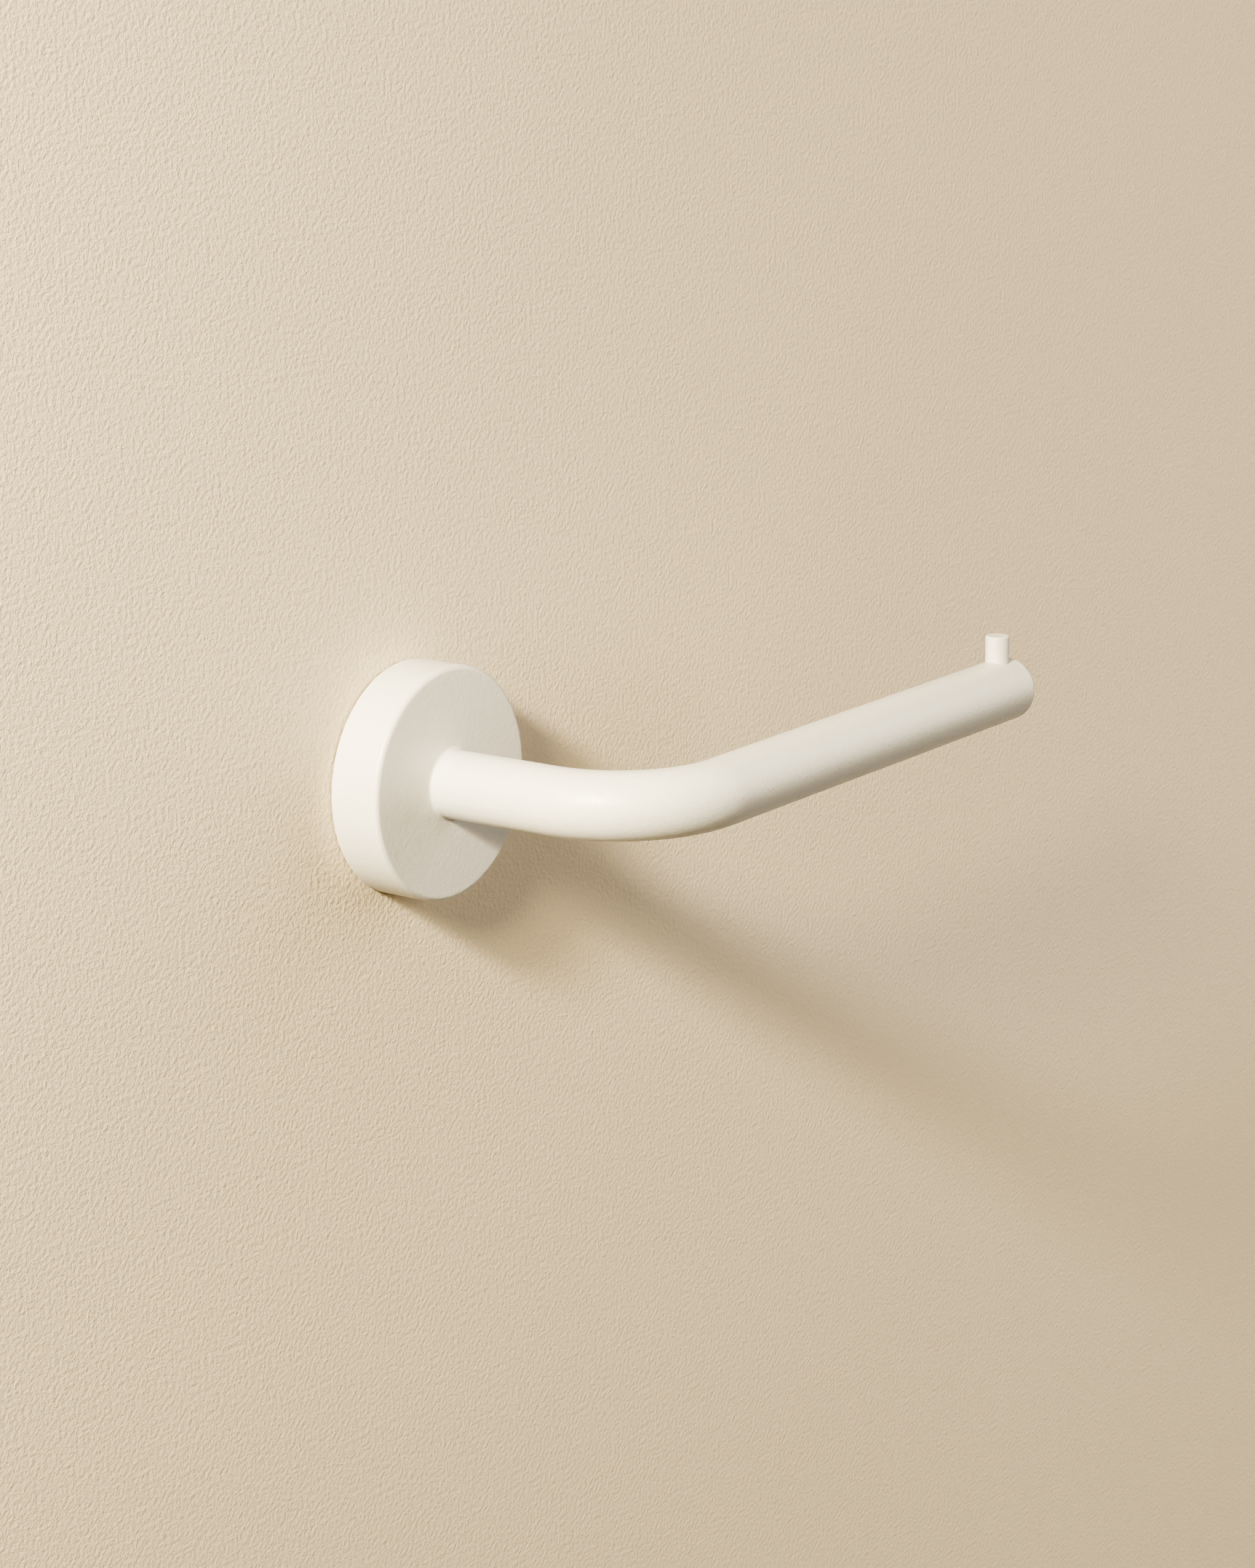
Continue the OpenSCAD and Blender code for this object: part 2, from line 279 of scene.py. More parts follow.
class Recipe(Wiring):
    """A Geometry Nodes tree with named sizes, which makes one plain mesh at a time."""

    kinds = {
        "Material": "NodeSocketMaterial",
        "Around": "NodeSocketInt",
        "Rows per Turn": "NodeSocketInt",
        "Bend Steps": "NodeSocketInt",
    }

    def __init__(self, name, sizes):
        super().__init__(bpy.data.node_groups.new(name, "GeometryNodeTree"))
        self.identifiers = {}
        ports = self.tree.interface
        ports.new_socket("Mesh", in_out="OUTPUT", socket_type="NodeSocketGeometry")
        for label in [*sizes, "Material"]:
            kind = self.kinds.get(label, "NodeSocketFloat")
            port = ports.new_socket(label, in_out="INPUT", socket_type=kind)
            self.identifiers[label] = port.identifier
        self.given = self.add("NodeGroupInput")

    def serve(self, mesh):
        """Ends the tree with a smooth, real mesh that wears the material."""
        smooth = self.add("GeometryNodeSetShadeSmooth", {}, {"Geometry": mesh})
        real = self.add("GeometryNodeRealizeInstances", {}, {"Geometry": smooth})
        sockets = {"Geometry": real, "Material": self.given["Material"]}
        self.add("NodeGroupOutput", {}, {"Mesh": self.add("GeometryNodeSetMaterial", {}, sockets)})

    def make(self, name, finish, sizes):
        """A new object whose plain mesh is what the tree makes with these sizes."""
        piece = bpy.data.objects.new(name, bpy.data.meshes.new(name))
        bpy.context.scene.collection.objects.link(piece)
        recipe = piece.modifiers.new("recipe", "NODES")
        recipe.node_group = self.tree
        for label, value in {**sizes, "Material": finish.material}.items():
            recipe[self.identifiers[label]] = value
        mesh = evaluated_mesh(piece)
        while mesh.materials[0] is None:
            mesh.materials.pop(index=0)
        set_mesh(piece, mesh)
        return piece


def evaluated_mesh(piece):
    graph = bpy.context.evaluated_depsgraph_get()
    return bpy.data.meshes.new_from_object(piece.evaluated_get(graph))


def set_mesh(piece, mesh):
    """Gives a piece its final mesh, with its modifiers gone."""
    piece.modifiers.clear()
    piece.data = mesh


def lathe(name, finish, outline, place=Matrix.Identity(4), around=96):
    """Turns a closed outline of (radius, height) points about Z and puts it in its place.

    A point on the axis is one vertex, so the faces round it are triangles.
    """
    form = bmesh.new()
    rings = []
    for radius, height in outline:
        steps = around if radius > 0 else 1
        angles = [2 * math.pi * step / steps for step in range(steps)]
        rings.append([
            form.verts.new((radius * math.cos(a), radius * math.sin(a), height)) for a in angles
        ])
    for lower, upper in zip(rings, rings[1:] + rings[:1]):
        if len(lower) == len(upper) == 1:
            continue
        for step in range(around):
            corners = [
                lower[step % len(lower)], lower[(step + 1) % len(lower)],
                upper[(step + 1) % len(upper)], upper[step % len(upper)],
            ]
            form.faces.new(dict.fromkeys(corners))
    bmesh.ops.recalc_face_normals(form, faces=form.faces)
    mesh = bpy.data.meshes.new(name)
    form.to_mesh(mesh)
    form.free()
    mesh.materials.append(finish.material)
    mesh.transform(place)
    piece = bpy.data.objects.new(name, mesh)
    bpy.context.scene.collection.objects.link(piece)
    return piece


def prism(name, finish, outline, low, high, place=Matrix.Identity(4)):
    """A straight prism over an outline of (x, y) points, from height low to height high."""
    count = len(outline)
    corners = [(x, y, z) for z in (low, high) for x, y in outline]
    sides = [(i, (i + 1) % count, count + (i + 1) % count, count + i) for i in range(count)]
    ends = [tuple(reversed(range(count))), tuple(range(count, 2 * count))]
    mesh = bpy.data.meshes.new(name)
    mesh.from_pydata(corners, [], sides + ends)
    mesh.materials.append(finish.material)
    mesh.transform(place)
    piece = bpy.data.objects.new(name, mesh)
    bpy.context.scene.collection.objects.link(piece)
    return piece


def corner(centre, radius, start, end, steps=8):
    """Points of an arc in an outline, from one angle to another in degrees."""
    angles = [math.radians(start + (end - start) * step / steps) for step in range(steps + 1)]
    return [(centre[0] + radius * math.cos(a), centre[1] + radius * math.sin(a)) for a in angles]


def combine(piece, operation, others):
    """Cuts other solids out of a piece, or joins them to it, and uses them up."""
    for other in others:
        step = piece.modifiers.new("step", "BOOLEAN")
        step.operation = operation
        step.solver = "EXACT"
        step.object = other
    piece.modifiers.new("weld", "WELD").merge_threshold = weld_distance
    set_mesh(piece, evaluated_mesh(piece))
    for other in others:
        bpy.data.objects.remove(other)


def crisp(piece, angle=32):
    """Shades a piece smooth, apart from edges that turn by more than the angle."""
    piece.data.shade_smooth()
    piece.data.set_sharp_from_angle(angle=math.radians(angle))


# One ridge winds up a rod as the rows of a grid are sheared by one pitch per turn. Each
# row keeps its place in the thread's profile, and rows past an end close the flat face.
thread = Recipe("threaded_rod", [
    "Length", "Crest Radius", "Core Radius", "Pitch", "Point Length", "Run In", "Run Out",
    "Root Flat", "Crest Flat", "Around", "Rows per Turn",
])
rod = thread.given
spare_turns = 4               # turns of the grid past the two ends
row_nudge = 0.001             # keeps rounding from moving a row into the next turn
turns = rod["Length"] / rod["Pitch"] + spare_turns
grid = thread.add("GeometryNodeMeshGrid", {}, {
    "Vertices X": turns * rod["Rows per Turn"],
    "Vertices Y": rod["Around"] + 1,
})
index = thread.add("GeometryNodeInputIndex")
row = thread.math("FLOOR", index / (rod["Around"] + 1))
share = (index - row * (rod["Around"] + 1)) / rod["Around"]
turn = row / rod["Rows per Turn"]
height = (turn - share - 1) * rod["Pitch"]
swing = 2 * thread.math("FRACT", turn + row_nudge) - 1
ridge = 1 - thread.math("ABSOLUTE", swing)
depth = (ridge - rod["Root Flat"]) / (1 - rod["Root Flat"] - rod["Crest Flat"])
fade_in = (height / rod["Run In"]).held_to(0, 1)
fade_out = ((rod["Length"] - height) / rod["Run Out"]).held_to(0, 1)
taper = (height / rod["Point Length"]).held_to(0, 1)
radius = rod["Core Radius"] * taper
rise = (rod["Crest Radius"] - rod["Core Radius"]) * depth.held_to(0, 1)
radius = radius + rise * (fade_in * fade_out)
closed = (1 + (rod["Length"] - height) / rod["Pitch"]).held_to(0, 1)
radius = radius * closed
angle = share * (-2 * math.pi)
spot = thread.add("ShaderNodeCombineXYZ", {}, {
    "X": radius * thread.math("COSINE", angle),
    "Y": radius * thread.math("SINE", angle),
    "Z": height.held_to(0.0, rod["Length"]),
})
wound = thread.add("GeometryNodeSetPosition", {}, {"Geometry": grid, "Position": spot})
seam = {"Geometry": wound, "Distance": weld_distance}
thread.serve(thread.add("GeometryNodeMergeByDistance", {}, seam))

yellow_zinc = Finish("passivated_steel", {"Metallic": 1.0})
bloom = yellow_zinc.noise(yellow_zinc.coordinates, passivation_patch, detail=3)
haze = yellow_zinc.noise(yellow_zinc.coordinates, haze_patch, detail=4)
rainbow = yellow_zinc.add("ShaderNodeValToRGB", {"stops": passivation_stops}, {"Fac": bloom})
yellow_zinc.drive("Base Color", rainbow)
yellow_zinc.drive("Roughness", passivated_roughness + haze * haze_dulling)
yellow_zinc.emboss(haze, haze_relief)

shank_length = wall_screw_length - wall_screw_neck_length + overlap
half_span = recess_span / 2
half_width = recess_width / 2
wall_screw_bodies = []
for side in (-1, 1):
    place = Matrix.Translation((side * wall_screw_x, 0, 0)) @ out_of_wall
    tip = Matrix.Translation((0, 0, plate_web - wall_screw_length))
    body = thread.make("threaded_wall_screws", yellow_zinc, {
        "Length": shank_length,
        "Crest Radius": wall_screw_radius,
        "Core Radius": wall_screw_core,
        "Pitch": wall_screw_pitch,
        "Point Length": wall_screw_point,
        "Run In": wall_screw_point,
        "Run Out": 1.5 * wall_screw_pitch,
        "Root Flat": wood_root_flat,
        "Crest Flat": wood_crest_flat,
        "Around": 40,
        "Rows per Turn": 12,
    })
    body.data.transform(place @ tip)
    head_centre = (
        wall_screw_head - wall_screw_head_edge,
        wall_screw_head_height - wall_screw_head_edge,
    )
    head = lathe("head", yellow_zinc, [
        (0, -wall_screw_neck_length),
        (wall_screw_neck, -wall_screw_neck_length),
        *corner((wall_screw_neck + neck_fillet, -neck_fillet), neck_fillet, 180, 90, 4),
        (wall_screw_head - head_break, 0),
        (wall_screw_head, head_break),
        *corner(head_centre, wall_screw_head_edge, 0, 80, 10),
        (0, wall_screw_head_height),
    ], place @ Matrix.Translation((0, 0, plate_web)), around=48)
    combine(body, "UNION", [head])
    recess = []
    for quarter in range(4):
        for x, y in [(half_span, -half_width), (half_span, half_width), (half_width, half_width)]:
            turned = Matrix.Rotation(quarter * math.pi / 2, 2) @ Vector((x, y))
            recess.append(tuple(turned))
    head_top = plate_web + wall_screw_head_height
    recess_floor = head_top - recess_depth
    driver = prism("recess", yellow_zinc, recess, recess_floor, head_top + overshoot, place)
    combine(body, "DIFFERENCE", [driver])
    wall_screw_bodies.append(body)

wall_screws = wall_screw_bodies[0]
both = bmesh.new()
for body in wall_screw_bodies:
    both.from_mesh(body.data)
both.to_mesh(wall_screws.data)
both.free()
bpy.data.objects.remove(wall_screw_bodies[1])
crisp(wall_screws, angle=40)
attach(wall_screws, "root")
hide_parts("wall_screws")


# -------------------------------------------------------------------------- arm tube
# One length of drawn steel tube, bent a quarter turn on a mandrel so that the section
# stays round. It is powder coated white, with a fine pebbled skin and a soft sheen.

arm_reach = 69 * mm
arm_bend = 27 * mm
arm_radius = 8 * mm
arm_wall = 1.5 * mm
rose_depth = 13.5 * mm
arm_seat = 1 * mm
plug_head = 1.6 * mm
pin_radius = 3 * mm
pin_inset = 6 * mm
fit_gap = 0.03 * mm
arm_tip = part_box("end_plug")[1].x
tube_end = arm_tip - plug_head
pin_x = arm_tip - pin_inset
arm_root = rose_depth - arm_seat
coat_warm = (0.752, 0.739, 0.709, 1)
coat_cool = (0.782, 0.774, 0.752, 1)
coat_cloud = 35 * mm
coat_peel = 1.1 * mm
coat_grain = 0.6 * mm
coat_relief = 0.09 * mm
coat_roughness = 0.40
cloud_tone = 1.2              # how strongly each pattern turns the coat warm or cool
grain_tone = 1.4
peel_dulling = 0.16           # how strongly each pattern changes the roughness
grain_dulling = 0.2
peel_swell = 0.5              # how much of the relief is each pattern's
grain_swell = 0.5

white_coat = Finish("powder_coat", {"IOR": 1.48, "Specular IOR Level": 0.45})
cloud = white_coat.noise(white_coat.coordinates, coat_cloud, detail=3)
peel = white_coat.noise(white_coat.coordinates, coat_peel, detail=1.5, roughness=0.4)
grain = white_coat.noise(white_coat.coordinates, coat_grain, detail=1)
tone = (0.5 + (cloud - 0.5) * cloud_tone + (grain - 0.5) * grain_tone).held_to(0, 1)
dulled = coat_roughness + (peel - 0.5) * peel_dulling + (grain - 0.5) * grain_dulling
white_coat.drive("Base Color", white_coat.blend(tone, coat_warm, coat_cool))
white_coat.drive("Roughness", dulled)
white_coat.emboss(peel * peel_swell + grain * grain_swell, coat_relief)

# The tube's skin is a grid: its rows run out along the bent path at the outer radius and
# come back at the inner radius, so the wall is closed at both ends by a flat ring.
bent_tube = Recipe("bent_tube", [
    "Root", "Reach", "Bend Radius", "End", "Outer Radius", "Inner Radius",
    "Hole Place", "Hole Radius", "Around", "Bend Steps",
])
tube = bent_tube.given
index = bent_tube.add("GeometryNodeInputIndex")
corners = bent_tube.add("GeometryNodePoints", {}, {
    "Count": 3,
    "Position": bent_tube.add("ShaderNodeCombineXYZ", {}, {
        "X": (index > 1.5) * tube["End"],
        "Y": (index < 0.5) * (tube["Reach"] - tube["Root"]) - tube["Reach"],
    }),
})
path = bent_tube.add("GeometryNodeFilletCurve", {"mode": "POLY"}, {
    "Curve": bent_tube.add("GeometryNodePointsToCurves", {}, {"Points": corners}),
    "Count": tube["Bend Steps"],
    "Radius": tube["Bend Radius"],
})
stations = tube["Bend Steps"] + 3   # the points of the bend and the path's two ends
grid = bent_tube.add("GeometryNodeMeshGrid", {}, {
    "Vertices X": 2 * stations + 1,
    "Vertices Y": tube["Around"] + 1,
})
row = bent_tube.math("FLOOR", index / (tube["Around"] + 1))
share = (index - row * (tube["Around"] + 1)) / tube["Around"]
going_back = (row > (stations - 0.5)) * (row < (2 * stations - 0.5))
last_row = row > (2 * stations - 0.5)
station = (1 - going_back) * (1 - last_row) * row + going_back * (2 * stations - 1 - row)
radius = tube["Outer Radius"] - going_back * (tube["Outer Radius"] - tube["Inner Radius"])
angle = share * (-2 * math.pi)


def along_path(field):
    """The x and y of a property of the path at each vertex's station."""
    sockets = {"Geometry": path, "Value": bent_tube.add(field), "Index": station}
    sampled = bent_tube.add("GeometryNodeSampleIndex", {"data_type": "FLOAT_VECTOR"}, sockets)
    parts = bent_tube.add("ShaderNodeSeparateXYZ", {}, {"Vector": sampled})
    return parts["X"], parts["Y"]


path_x, path_y = along_path("GeometryNodeInputPosition")
heading_x, heading_y = along_path("GeometryNodeInputTangent")
sideways = radius * bent_tube.math("SINE", angle)
spot = bent_tube.add("ShaderNodeCombineXYZ", {}, {
    "X": path_x + sideways * heading_y,
    "Y": path_y - sideways * heading_x,
    "Z": radius * bent_tube.math("COSINE", angle),
})
skin = bent_tube.add("GeometryNodeSetPosition", {}, {"Geometry": grid, "Position": spot})
skin = bent_tube.add("GeometryNodeMergeByDistance", {}, {
    "Geometry": skin, "Distance": weld_distance,
})
drill = bent_tube.add("GeometryNodeTransform", {}, {
    "Geometry": bent_tube.add("GeometryNodeMeshCylinder", {}, {
        "Vertices": 64, "Radius": tube["Hole Radius"], "Depth": 2 * tube["Outer Radius"],
    }),
    "Translation": bent_tube.add("ShaderNodeCombineXYZ", {}, {
        "X": tube["Hole Place"], "Y": 0 - tube["Reach"], "Z": tube["Outer Radius"],
    }),
})
bent_tube.serve(bent_tube.add("GeometryNodeMeshBoolean", {
    "operation": "DIFFERENCE", "solver": "EXACT",
}, {"Mesh 1": skin, "Mesh 2": drill}))

coated_arm = bent_tube.make("coated_arm", white_coat, {
    "Root": arm_root,
    "Reach": arm_reach,
    "Bend Radius": arm_bend,
    "End": tube_end,
    "Outer Radius": arm_radius,
    "Inner Radius": arm_radius - arm_wall,
    "Hole Place": pin_x,
    "Hole Radius": pin_radius + fit_gap,
    "Around": 96,
    "Bend Steps": 48,
})
crisp(coated_arm)
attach(coated_arm, "root")
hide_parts("arm_tube")


# ----------------------------------------------------------------------- root insert
# A turned steel plug that is pressed and brazed into the root of the tube. It is tapped
# for the arm's screw and drilled for the dowel, and closes the tube's end flush.

bore_radius = arm_radius - arm_wall - fit_gap
insert_length = 16 * mm
insert_tap = 13 * mm
insert_chamfer = 0.5 * mm
m6_radius = 3 * mm
m6_core = 2.4 * mm
m6_pitch = 1 * mm
dowel_radius = 1 * mm
dowel_offset = 4.7 * mm
dowel_length = 6 * mm
rose_inside = 10.5 * mm
metric_thread = {"Root Flat": 0.2, "Crest Flat": 0.12, "Rows per Turn": 8}
at_once = 0.01 * mm           # a thread's run-in or point where it has none
steel_bright = (0.66, 0.65, 0.63, 1)
steel_dull = (0.50, 0.49, 0.48, 1)
steel_roughness = 0.22
smear_patch = 2.5 * mm
smear_stretch = (1, 4, 1)
smear_dulling = 0.12
scratch_patch = 0.25 * mm
scratch_stretch = (1, 9, 1)
scratch_dulling = 0.08
scratch_depth = 0.006 * mm

steel = Finish("turned_steel", {"Metallic": 1.0})
smear = steel.noise(steel.coordinates, smear_patch, detail=4, stretch=smear_stretch)
scratch = steel.noise(steel.coordinates, scratch_patch, detail=2, stretch=scratch_stretch)
steel.drive("Base Color", steel.blend(smear, steel_dull, steel_bright))
worn = steel_roughness + smear * smear_dulling + scratch * scratch_dulling
steel.drive("Roughness", worn)
steel.emboss(scratch, scratch_depth)


def dowel_drill():
    """The drill that opens the dowel's hole through the rose and into the insert."""
    place = out_of_wall @ Matrix.Translation((0, dowel_offset, 0))
    radius = dowel_radius + fit_gap
    low = rose_inside - overshoot
    high = rose_inside + dowel_length + fit_gap
    outline = [(0, low), (radius, low), (radius, high), (0, high)]
    return lathe("drill", steel, outline, place, around=32)


tapped_insert = lathe("tapped_insert", steel, [
    (0, arm_root),
    (bore_radius, arm_root),
    (bore_radius, arm_root + insert_length - insert_chamfer),
    (bore_radius - insert_chamfer, arm_root + insert_length),
    (0, arm_root + insert_length),
], out_of_wall)
tap = thread.make("tap", steel, {
    **metric_thread,
    "Length": insert_tap + overshoot,
    "Crest Radius": m6_radius + fit_gap,
    "Core Radius": m6_core + fit_gap,
    "Pitch": m6_pitch,
    "Point Length": at_once,
    "Run In": at_once,
    "Run Out": m6_pitch,
    "Around": 48,
})
tap.data.transform(out_of_wall @ Matrix.Translation((0, 0, arm_root - overshoot)))
combine(tapped_insert, "DIFFERENCE", [tap, dowel_drill()])
crisp(tapped_insert)
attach(tapped_insert, "root")
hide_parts("root_insert")


# -------------------------------------------------------------------------- stop pin
# A turned steel pin, screwed down through the tube into the plug so that it locks the
# plug in place. It stands proud of the arm to keep the roll on, and is coated with it.

pin_top = 14.5 * mm
pin_shoulder = 4.5 * mm
pin_edge = 0.4 * mm
pin_break = 0.1 * mm
stud_radius = 2 * mm
stud_core = 1.6 * mm
stud_pitch = 0.7 * mm
stud_length = 7 * mm
pin_place = Matrix.Translation((pin_x, -arm_reach, 0))

coated_pin = lathe("coated_pin", white_coat, [
    (0, pin_shoulder),
    (pin_radius - pin_break, pin_shoulder),
    (pin_radius, pin_shoulder + pin_break),
    (pin_radius, pin_top - 2 * pin_edge),
    *corner((pin_radius - pin_edge, pin_top - pin_edge), pin_edge, 0, 90),
    (pin_radius - 2 * pin_edge, pin_top),
    (0, pin_top),
], pin_place, around=64)
stud = thread.make("stud", steel, {
    **metric_thread,
    "Length": stud_length + overlap,
    "Crest Radius": stud_radius,
    "Core Radius": stud_core,
    "Pitch": stud_pitch,
    "Point Length": at_once,
    "Run In": stud_pitch,
    "Run Out": stud_pitch,
    "Around": 40,
})
stud.data.transform(pin_place @ Matrix.Translation((0, 0, pin_shoulder - stud_length)))
combine(coated_pin, "UNION", [stud])
crisp(coated_pin)
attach(coated_pin, "root")
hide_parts("stop_pin")


# -------------------------------------------------------------------------- end plug
# A turned steel plug that closes the tip of the tube. Its spigot is a sliding fit in the
# bore, and its round-edged head is coated flush with the tube.

plug_edge = 1.2 * mm
plug_length = 13 * mm
plug_chamfer = 0.5 * mm
stud_hole_floor = -4 * mm
plug_place = Matrix.Translation((0, -arm_reach, 0)) @ Matrix.Rotation(math.pi / 2, 4, "Y")

coated_plug = lathe("coated_plug", white_coat, [
    (0, tube_end - plug_length),
    (bore_radius - plug_chamfer, tube_end - plug_length),
    (bore_radius, tube_end - plug_length + plug_chamfer),
    (bore_radius, tube_end),
    (arm_radius, tube_end),
    *corner((arm_radius - plug_edge, arm_tip - plug_edge), plug_edge, 0, 90, 12),
    (arm_radius - 2 * plug_edge, arm_tip),
    (0, arm_tip),
], plug_place)
counterbore = lathe("counterbore", white_coat, [
    (0, stud_hole_floor),
    (stud_radius + fit_gap, stud_hole_floor),
    (stud_radius + fit_gap, pin_shoulder),
    (pin_radius + fit_gap, pin_shoulder),
    (pin_radius + fit_gap, 2 * arm_radius),
    (0, 2 * arm_radius),
], pin_place, around=64)
combine(coated_plug, "DIFFERENCE", [counterbore])
crisp(coated_plug)
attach(coated_plug, "root")
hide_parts("end_plug")


# ------------------------------------------------------------------------------ rose
# A cup machined from solid, which hides the wall plate. Its pocket seats on the plate's
# ring, the arm stands in a shallow seat in its front, and the coating runs up the arm's
# root in a small fillet. The tapped hole for the clamping screw is in the underside.

rose_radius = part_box("rose")[1].x
rose_rim = 0.3 * mm
rose_edge = 1.2 * mm
rose_chamfer = 0.3 * mm
pocket_radius = 24 * mm
pocket_depth = 8 * mm
recess_radius = 21 * mm
root_fillet = 0.8 * mm
screw_clearance = 0.2 * mm
grub_height = 5 * mm
grub_radius = 2 * mm
grub_sink = 0.4 * mm
sink_allowance = 0.07 * mm
sink_rise = 1.4 * mm
tool_radius = 0.4 * mm
seat_radius = arm_radius + fit_gap

coated_rose = lathe("coated_rose", white_coat, [
    (m6_radius + screw_clearance, rose_inside),
    (recess_radius - tool_radius, rose_inside),
    *corner((recess_radius - tool_radius, rose_inside - tool_radius), tool_radius, 90, 0, 4),
    (recess_radius, pocket_depth),
    (pocket_radius - tool_radius, pocket_depth),
    *corner((pocket_radius - tool_radius, pocket_depth - tool_radius), tool_radius, 90, 0, 4),
    (pocket_radius, rose_rim + rose_chamfer),
    (pocket_radius + rose_chamfer, rose_rim),
    *corner((rose_radius - rose_chamfer, rose_rim + rose_chamfer), rose_chamfer, -90, 0, 6),
    (rose_radius, rose_depth - 2 * rose_edge),
    *corner((rose_radius - rose_edge, rose_depth - rose_edge), rose_edge, 0, 90, 14),
    (rose_radius - 2 * rose_edge, rose_depth),
    (seat_radius + 2 * root_fillet, rose_depth),
    *corner((seat_radius + root_fillet, rose_depth + root_fillet), root_fillet, 270, 180, 8),
    (seat_radius, arm_root),
    (m6_radius + screw_clearance, arm_root),
], out_of_wall, around=256)
grub_place = out_of_wall @ Matrix.Translation((0, 0, grub_height)) @ out_of_wall
grub_tap = thread.make("grub_tap", white_coat, {
    **metric_thread,
    "Length": rose_radius - recess_radius + 2 * overshoot,
    "Crest Radius": grub_radius + fit_gap,
    "Core Radius": stud_core + fit_gap,
    "Pitch": stud_pitch,
    "Point Length": at_once,
    "Run In": at_once,
    "Run Out": at_once,
    "Around": 40,
})
grub_tap.data.transform(grub_place @ Matrix.Translation((0, 0, recess_radius - overshoot)))
sink_low = rose_radius - grub_sink - sink_allowance
sink = lathe("sink", white_coat, [
    (0, sink_low),
    (grub_radius, sink_low),
    (grub_radius + sink_rise, sink_low + sink_rise),
    (0, sink_low + sink_rise),
], grub_place, around=64)
combine(coated_rose, "DIFFERENCE", [grub_tap, sink, dowel_drill()])
crisp(coated_rose)
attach(coated_rose, "root")
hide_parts("rose")


# --------------------------------------------------------------- dowel and washers
# A ground dowel stops the arm from turning in the rose. A flat washer and a split spring
# washer of stainless steel spread the screw's load and keep it tight.

for part in ("dowel", "flat_washer", "spring_washer"):
    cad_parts[part].material_slots[0].material = steel.material


# ------------------------------------------------------------------------- arm screw
# A button-head screw of stainless steel, turned home with a hexagon key from the back of
# the rose before the rose goes over its plate. It pulls the arm into its seat.

arm_screw_length = 16 * mm
arm_screw_head = 5.25 * mm
arm_screw_head_height = 3.3 * mm
arm_screw_key = 4 * mm
arm_screw_socket = 2.2 * mm
arm_screw_break = 0.1 * mm
head_seat = 7.3 * mm


def hexagon(across_flats):
    """Corners of a hexagon, as wide across its flats as asked."""
    reach = across_flats / math.sqrt(3)
    angles = [math.pi * step / 3 for step in range(6)]
    return [(reach * math.cos(a), reach * math.sin(a)) for a in angles]


button_screw = thread.make("button_head_screw", steel, {
    **metric_thread,
    "Length": arm_screw_length + overlap,
    "Crest Radius": m6_radius,
    "Core Radius": m6_core,
    "Pitch": m6_pitch,
    "Point Length": at_once,
    "Run In": m6_pitch,
    "Run Out": at_once,
    "Around": 48,
})
end_first = Matrix.Rotation(math.pi, 4, "X")
screw_end = Matrix.Translation((0, 0, head_seat + arm_screw_length))
button_screw.data.transform(out_of_wall @ screw_end @ end_first)
head_edge = arm_screw_head_height * 2 / 3
head_low = head_seat - arm_screw_head_height
button = lathe("button", steel, [
    (0, head_low),
    *corner((arm_screw_head - head_edge, head_low + head_edge), head_edge, 270, 360, 10),
    (arm_screw_head, head_seat - arm_screw_break),
    (arm_screw_head - arm_screw_break, head_seat),
    (0, head_seat),
], out_of_wall, around=64)
combine(button_screw, "UNION", [button])
key = prism(
    "key", steel, hexagon(arm_screw_key),
    head_low - overshoot, head_low + arm_screw_socket, out_of_wall,
)
combine(button_screw, "DIFFERENCE", [key])
crisp(button_screw)
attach(button_screw, "root")
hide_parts("arm_screw")


# ------------------------------------------------------------------- clamping screw
# A headless screw of hardened steel. Its cone point bears on the plate's bevel and draws
# the rose home against the wall. A hexagon key turns it from below.

grub_length = 5 * mm
grub_key = 2 * mm
grub_socket = 2 * mm
grub_tip = -(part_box("clamp_screw")[1].z)

cone_screw = thread.make("cone_point_screw", steel, {
    **metric_thread,
    "Length": grub_length,
    "Crest Radius": grub_radius,
    "Core Radius": stud_core,
    "Pitch": stud_pitch,
    "Point Length": stud_core,
    "Run In": grub_radius,
    "Run Out": stud_pitch / 2,
    "Around": 40,
})
cone_screw.data.transform(grub_place @ Matrix.Translation((0, 0, grub_tip)))
key = prism(
    "key", steel, hexagon(grub_key),
    grub_tip + grub_length - grub_socket, grub_tip + grub_length + overshoot, grub_place,
)
combine(cone_screw, "DIFFERENCE", [key])
crisp(cone_screw)
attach(cone_screw, "root")
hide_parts("clamp_screw")


# ------------------------------------------------------------------------ the studio
# A painted wall with a faint roller stipple, which shows only from the room's side and
# has an opening that the rose covers, and a pale floor well below. Floor and sky look
# paler than the light that they give, so that the arm keeps its dark underside.

wall_radius = 2.4
wall_shift = 1.47
wall_opening = 26 * mm
wall_pale = (0.89, 0.78, 0.625, 1)
wall_deep = (0.862, 0.752, 0.60, 1)
wall_cloud = 120 * mm
stipple = 1.2 * mm
stipple_height = 0.36 * mm
floor_drop = 900 * mm
floor_radius = 40.0
floor_opening = 1 * mm
floor_cloud = 600 * mm
floor_pale = (0.44, 0.42, 0.385, 1)
floor_worn = (0.40, 0.38, 0.35, 1)
floor_seen_pale = (0.56, 0.54, 0.51, 1)
floor_seen_worn = (0.53, 0.51, 0.48, 1)
sky_glow = (1.0, 0.96, 0.86, 1)
sky_strength = 0.06
sky_seen = (0.66, 0.64, 0.61, 1)
lamp_spread = math.radians(120)

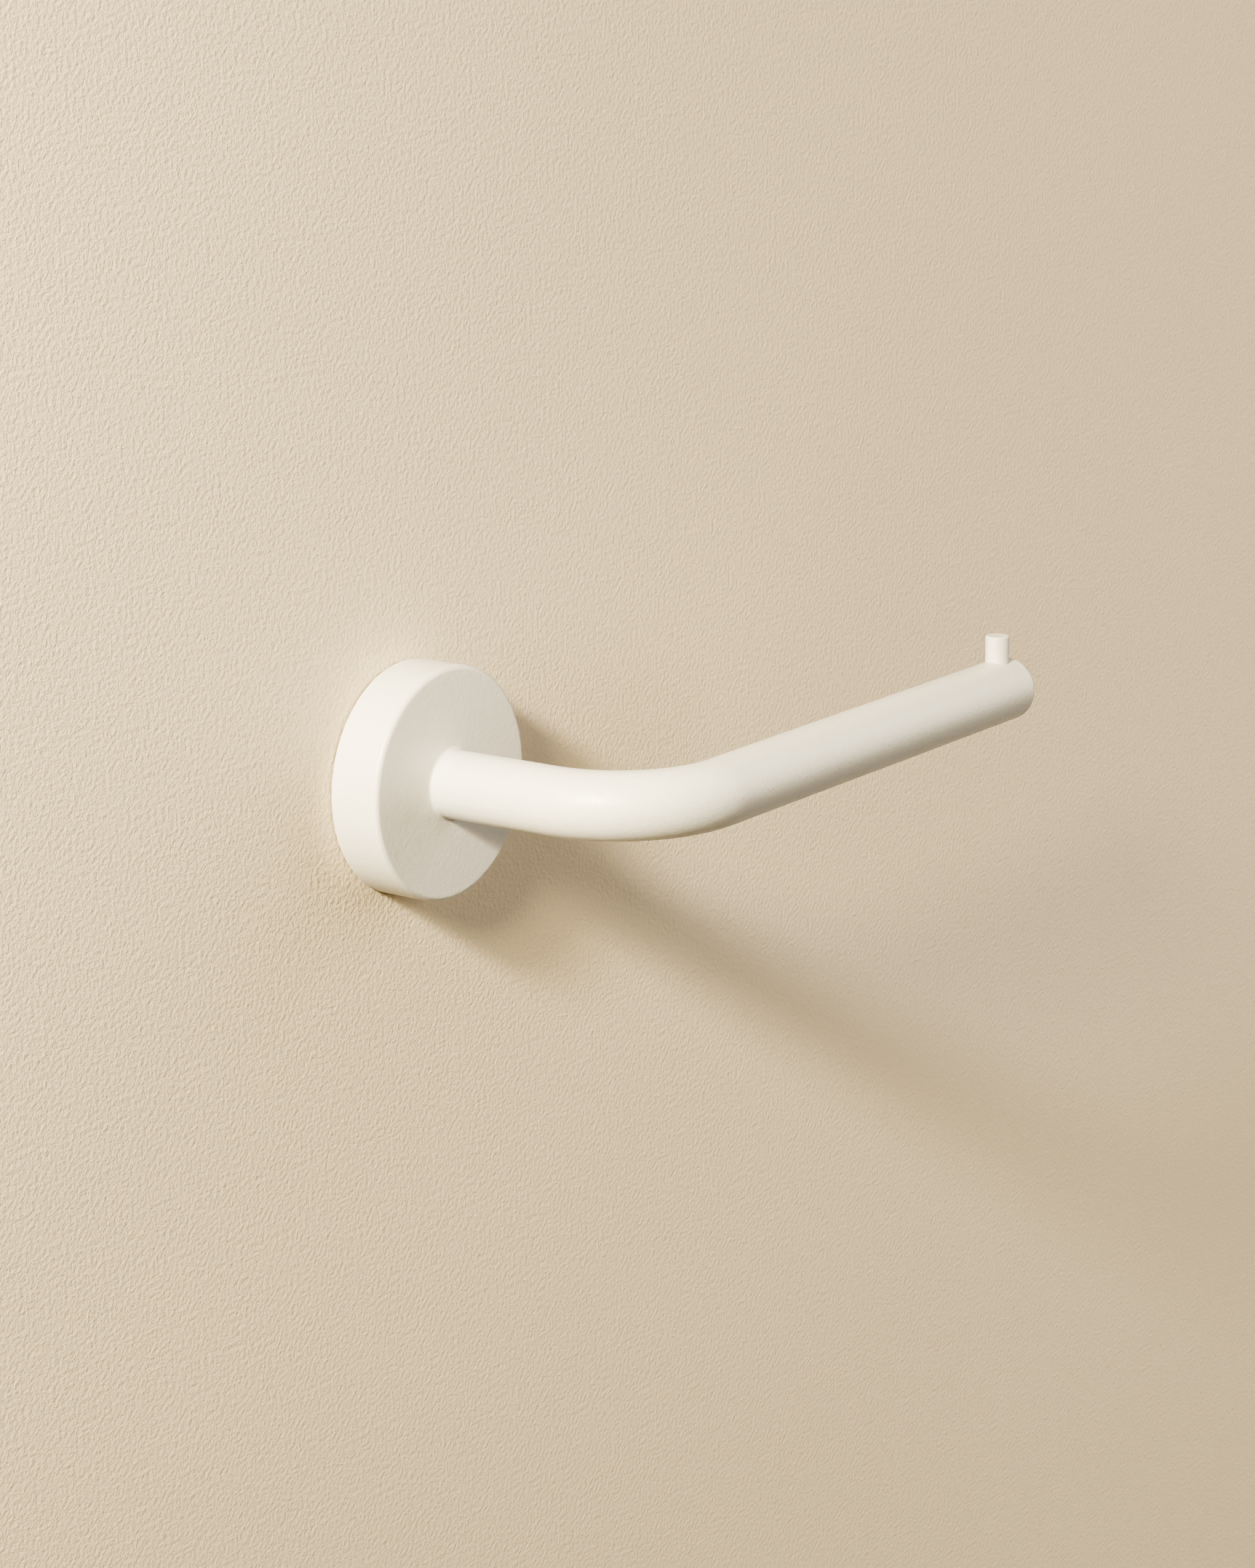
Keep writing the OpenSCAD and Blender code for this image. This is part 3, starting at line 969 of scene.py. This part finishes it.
plaster = Finish("painted_plaster", {"Roughness": 0.75, "Specular IOR Level": 0.25})
sweep = plaster.noise(plaster.coordinates, wall_cloud, detail=3)
dimple = plaster.noise(plaster.coordinates, stipple, detail=3, roughness=0.6)
plaster.drive("Base Color", plaster.blend(sweep, wall_pale, wall_deep))
plaster.emboss(dimple, stipple_height)
plaster.end_with(plaster.add("ShaderNodeMixShader", {}, {
    0: plaster.add("ShaderNodeNewGeometry")["Backfacing"],
    1: plaster.plain,
    2: plaster.add("ShaderNodeBsdfTransparent"),
}))

ground = Finish("pale_floor", {"Roughness": 0.6})
wear = ground.noise(ground.coordinates, floor_cloud, detail=2)
ground.drive("Base Color", ground.blend(wear, floor_pale, floor_worn))
ground.end_with(ground.add("ShaderNodeMixShader", {}, {
    0: ground.add("ShaderNodeLightPath")["Is Camera Ray"],
    1: ground.plain,
    2: ground.add("ShaderNodeEmission", {}, {
        "Color": ground.blend(wear, floor_seen_pale, floor_seen_worn),
    }),
}))


def backdrop(name, finish, opening, reach, shift, place):
    """A flat ring for the room, facing +Z till it is placed, its outer edge shifted in X."""
    around = 128
    angles = [2 * math.pi * step / around for step in range(around)]
    form = bmesh.new()
    inner, outer = [
        [form.verts.new((middle + radius * math.cos(a), radius * math.sin(a), 0)) for a in angles]
        for radius, middle in ((opening, 0), (reach, shift))
    ]
    for step in range(around):
        following = (step + 1) % around
        form.faces.new([inner[step], outer[step], outer[following], inner[following]])
    mesh = bpy.data.meshes.new(name)
    form.to_mesh(mesh)
    form.free()
    mesh.materials.append(finish.material)
    mesh.transform(place)
    made = bpy.data.objects.new(name, mesh)
    bpy.context.scene.collection.objects.link(made)


below = Matrix.Translation((0, 0, -floor_drop))
backdrop("wall", plaster, wall_opening, wall_radius, wall_shift, out_of_wall)
backdrop("floor", ground, floor_opening, floor_radius, 0, below)


def soft_lamp(name, direction, distance, size, power, colour, aim=(0, 0, 0)):
    """A round area lamp that stands out from the rose in a direction and faces its aim."""
    lamp = bpy.data.lights.new(name, "AREA")
    lamp.shape = "DISK"
    lamp.size = size
    lamp.energy = power
    lamp.color = colour
    lamp.spread = lamp_spread
    stand = bpy.data.objects.new(name, lamp)
    stand.matrix_world = facing(Vector(direction) * distance, aim)
    bpy.context.scene.collection.objects.link(stand)


# Two lamps graze the wall from the upper left: a small one, which draws the shadow's
# edge, and a larger and warmer one. A broad fill stands in the room, and a lamp behind
# the wall lights the back of the rose.
soft_lamp(
    "wall_lamp", (-0.84, -0.199, 0.505), distance=1.0, size=0.11, power=5.6,
    colour=(1.0, 0.975, 0.84),
)
soft_lamp(
    "warm_lamp", (-0.832, -0.309, 0.461), distance=1.6, size=0.28, power=8.5,
    colour=(1.0, 0.81, 0.42),
)
soft_lamp(
    "room_fill", (0.775, -0.60, 0.20), distance=1.8, size=1.6, power=7.9,
    colour=(1.0, 0.925, 0.80), aim=(0.3, 0, -0.12),
)
soft_lamp(
    "rear_fill", (-0.5, 0.8, 0.33), distance=1.4, size=1.2, power=9.0,
    colour=(1.0, 0.97, 0.93),
)

sky = bpy.data.worlds.new("sky")
sky.use_nodes = True
bpy.context.scene.world = sky
air = Wiring(sky.node_tree)
glow = {"Color": sky_glow, "Strength": sky_strength}
air_seen = air.add("ShaderNodeMixShader", {}, {
    0: air.add("ShaderNodeLightPath")["Is Camera Ray"],
    1: air.add("ShaderNodeBackground", {}, glow),
    2: air.add("ShaderNodeBackground", {}, {"Color": sky_seen, "Strength": 1.0}),
})
sky.node_tree.links.new(air_seen.socket, sky.node_tree.nodes["World Output"].inputs["Surface"])
bpy.context.scene.view_settings.view_transform = "AgX"
bpy.context.scene.view_settings.look = "AgX - Very High Contrast"
